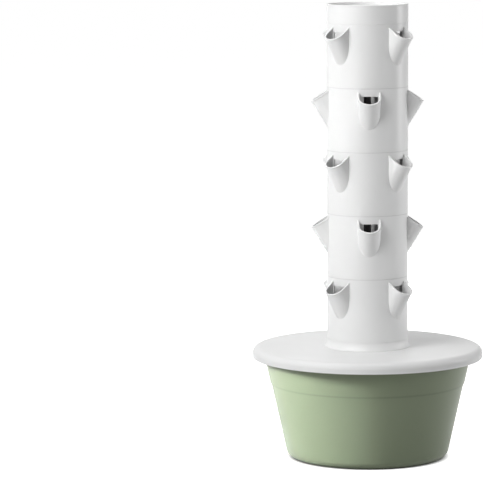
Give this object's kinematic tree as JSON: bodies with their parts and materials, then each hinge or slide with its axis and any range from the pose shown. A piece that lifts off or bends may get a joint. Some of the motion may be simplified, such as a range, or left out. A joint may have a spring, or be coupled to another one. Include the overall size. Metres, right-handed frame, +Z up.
{
  "type": "hydroponic tower",
  "caption": "Free-standing planting tower: stacked ring modules with slanted pockets on a lidded round tub, watered from the top by a pump and a central riser pipe.",
  "frame": {"origin": "on the ground, under the axis of the tower", "axes": "+Z up along the tower, -Y towards the front, where the second and fourth modules have a pocket"},
  "size_m": [0.4566, 0.4566, 0.9],
  "materials": {
    "tower_white": "fine satin moulded white",
    "lid_white": "smooth moulded white",
    "tub_green": "satin moulded sage green",
    "pipe_black": "extruded black pipe",
    "pump_black": "fine textured black",
    "rotor_grey": "sintered ferrite magnet",
    "shaft_steel": "ground pin",
    "rubber_black": "soft black rubber",
    "silicone": "milky silicone"
  },
  "bodies": {
    "reservoir": {"tub": "tub_green", "pump_housing": "pump_black", "pump_intake_plate": "pump_black", "pump_strainer": "pump_black", "pump_shaft": "shaft_steel", "pump_suction_cups": "rubber_black", "riser_pipe_lower": "pipe_black", "riser_pipe_upper": "pipe_black", "riser_connector": "pipe_black", "riser_sleeve": "silicone"},
    "lid": {"tub_lid": "lid_white", "tower_socket": "tower_white", "drain_plate": "tower_white", "cable_grommet": "rubber_black"},
    "fill_cap": {"fill_cap": "lid_white"},
    "rotor": {"pump_rotor": "rotor_grey"},
    "module_1": {"tower_module_1": "tower_white", "drip_tray_1": "tower_white"},
    "module_2": {"tower_module_2": "tower_white", "drip_tray_2": "tower_white"},
    "module_3": {"tower_module_3": "tower_white", "drip_tray_3": "tower_white"},
    "module_4": {"tower_module_4": "tower_white", "drip_tray_4": "tower_white"},
    "module_5": {"tower_module_5": "tower_white", "drip_tray_5": "tower_white"},
    "crown": {"crown_bowl": "tower_white", "spray_nozzle": "pump_black"},
    "cover": {"top_cover": "tower_white"}
  },
  "joints": [
    {"name": "lid_lift", "type": "slide", "parent": "reservoir", "child": "lid", "axis": [0, 0, 1], "range_m": [0, 0.12]},
    {"name": "fill_cap_lift", "type": "slide", "parent": "lid", "child": "fill_cap", "axis": [0, 0, 1], "range_m": [0, 0.05]},
    {"name": "module_1_lift", "type": "slide", "parent": "lid", "child": "module_1", "axis": [0, 0, 1], "range_m": [0, 0.08]},
    {"name": "module_2_lift", "type": "slide", "parent": "module_1", "child": "module_2", "axis": [0, 0, 1], "range_m": [0, 0.08]},
    {"name": "module_3_lift", "type": "slide", "parent": "module_2", "child": "module_3", "axis": [0, 0, 1], "range_m": [0, 0.08]},
    {"name": "module_4_lift", "type": "slide", "parent": "module_3", "child": "module_4", "axis": [0, 0, 1], "range_m": [0, 0.08]},
    {"name": "module_5_lift", "type": "slide", "parent": "module_4", "child": "module_5", "axis": [0, 0, 1], "range_m": [0, 0.08]},
    {"name": "crown_lift", "type": "slide", "parent": "module_5", "child": "crown", "axis": [0, 0, 1], "range_m": [0, 0.06]},
    {"name": "cover_lift", "type": "slide", "parent": "crown", "child": "cover", "axis": [0, 0, 1], "range_m": [0, 0.05]},
    {"name": "rotor_spin", "type": "hinge", "parent": "reservoir", "child": "rotor", "pos_m": [0, -0.0135, 0.0348], "axis": [1, 0, 0], "continuous": true}
  ]
}
